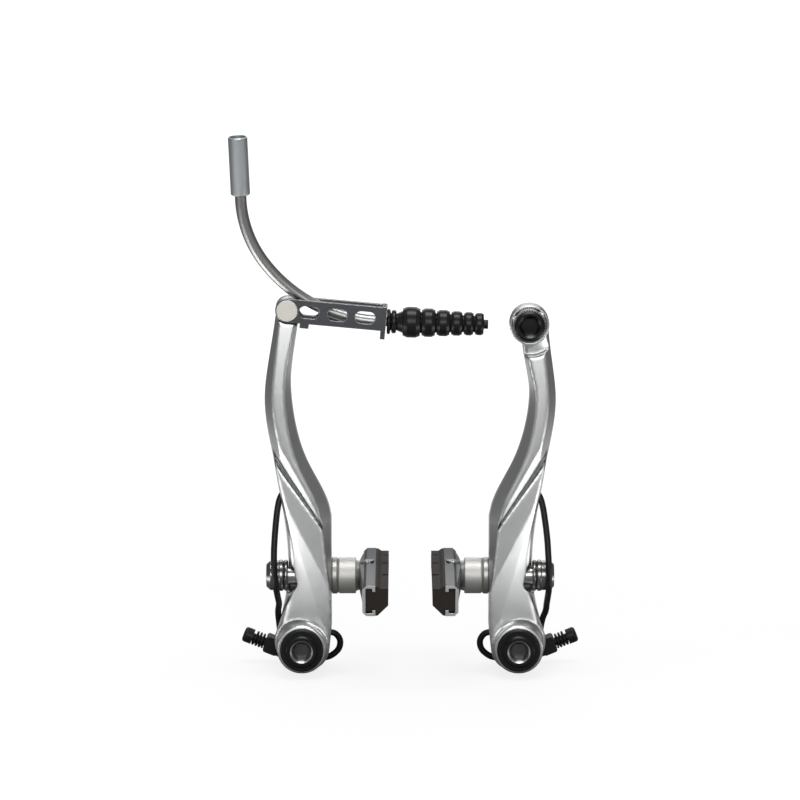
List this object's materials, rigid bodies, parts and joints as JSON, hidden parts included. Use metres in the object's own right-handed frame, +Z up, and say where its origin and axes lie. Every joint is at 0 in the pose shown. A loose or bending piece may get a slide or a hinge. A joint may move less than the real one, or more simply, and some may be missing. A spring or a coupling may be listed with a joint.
{
  "type": "bicycle v brake",
  "caption": "Linear-pull bicycle rim brake: forged arms on sprung pivots, cartridge brake shoes, a link with a bent lead pipe and rubber boot, and a cable clamp.",
  "frame": {"origin": "midpoint between the two pivot axes, at the height and depth of the shoe posts' plane", "axes": "+X towards the arm with the cable clamp, +Y to the rear along the pivot axes, towards the frame, +Z up along the arms"},
  "size_m": [0.1097, 0.0618, 0.1699],
  "materials": {
    "arm_alloy": "satin polished forging",
    "bush_steel": "turned",
    "steel": "turned",
    "black_steel": "black oxide",
    "black_plastic": "moulded",
    "spring_black": "black coated wire",
    "washer": "satin",
    "spacer_alloy": "satin",
    "chromed": "bright plated",
    "holder_grey": "satin cast",
    "pad_rubber": "moulded compound",
    "rivet": "pressed",
    "link_steel": "folded sheet",
    "pipe_steel": "polished",
    "liner_plastic": "extruded",
    "ferrule_alloy": "anodised satin",
    "boot_rubber": "moulded"
  },
  "bodies": {
    "pivots": {"left_bush": "bush_steel", "left_bolt_washer": "black_steel", "left_pivot_bolt": "black_steel", "left_spring_holder": "black_plastic", "left_return_spring": "spring_black", "left_adjuster_spring": "spring_black", "right_bush": "bush_steel", "right_bolt_washer": "black_steel", "right_pivot_bolt": "black_steel", "right_spring_holder": "black_plastic", "right_return_spring": "spring_black", "right_adjuster_spring": "spring_black"},
    "left_arm": {"left_arm": "arm_alloy", "left_link_rivet": "rivet"},
    "right_arm": {"right_arm": "arm_alloy", "right_clamp_washer": "steel", "right_clamp_bolt": "black_steel"},
    "link": {"link": "link_steel"},
    "lead_pipe": {"lead_pipe": "pipe_steel", "liner": "liner_plastic", "ferrule": "ferrule_alloy", "boot": "boot_rubber"},
    "left_shoe": {"left_inner_dome": "washer", "left_spacer": "spacer_alloy", "left_shoe_washer": "washer", "left_outer_dome": "chromed", "left_outer_cup": "chromed", "left_shoe_nut": "chromed", "left_shoe_post": "steel", "left_shoe_holder": "holder_grey", "left_pad": "pad_rubber", "left_pad_pin": "steel"},
    "right_shoe": {"right_inner_dome": "washer", "right_spacer": "spacer_alloy", "right_shoe_washer": "washer", "right_outer_dome": "chromed", "right_outer_cup": "chromed", "right_shoe_nut": "chromed", "right_shoe_post": "steel", "right_shoe_holder": "holder_grey", "right_pad": "pad_rubber", "right_pad_pin": "steel"},
    "left_adjuster": {"left_adjusting_screw": "black_steel"},
    "right_adjuster": {"right_adjusting_screw": "black_steel"}
  },
  "joints": [
    {"name": "left_pivot", "type": "hinge", "parent": "pivots", "child": "left_arm", "pos_m": [-0.034, 0, 0], "axis": [0, 1, 0], "range_deg": [-20, 1.7], "stiffness_Nm_per_rad": 0.8, "deforming": ["left_return_spring"]},
    {"name": "right_pivot", "type": "hinge", "parent": "pivots", "child": "right_arm", "pos_m": [0.034, 0, 0], "axis": [0, -1, 0], "range_deg": [-20, 1.7], "stiffness_Nm_per_rad": 0.8, "deforming": ["right_return_spring"]},
    {"name": "link_pivot", "type": "hinge", "parent": "left_arm", "child": "link", "pos_m": [-0.0383, 0, 0.1066], "axis": [0, -1, 0], "range_deg": [0, 70]},
    {"name": "pipe_swivel", "type": "hinge", "parent": "link", "child": "lead_pipe", "pos_m": [-0.00754, 0, 0.1026], "axis": [0.9996, 0, -0.0279], "range_deg": [-15, 3]},
    {"name": "left_shoe_turn", "type": "hinge", "parent": "left_arm", "child": "left_shoe", "pos_m": [-0.034, 0, 0.022], "axis": [1, 0, 0], "range_deg": [-12, 12]},
    {"name": "right_shoe_turn", "type": "hinge", "parent": "right_arm", "child": "right_shoe", "pos_m": [0.034, 0, 0.022], "axis": [1, 0, 0], "range_deg": [-12, 12]},
    {"name": "left_adjuster_turn", "type": "hinge", "parent": "pivots", "child": "left_adjuster", "pos_m": [-0.044, 0.01367, -0.0032], "axis": [-0.9272, 0, 0.3746], "range_deg": [-180, 180]},
    {"name": "right_adjuster_turn", "type": "hinge", "parent": "pivots", "child": "right_adjuster", "pos_m": [0.044, 0.01367, -0.0032], "axis": [0.9272, 0, 0.3746], "range_deg": [-180, 180]}
  ]
}
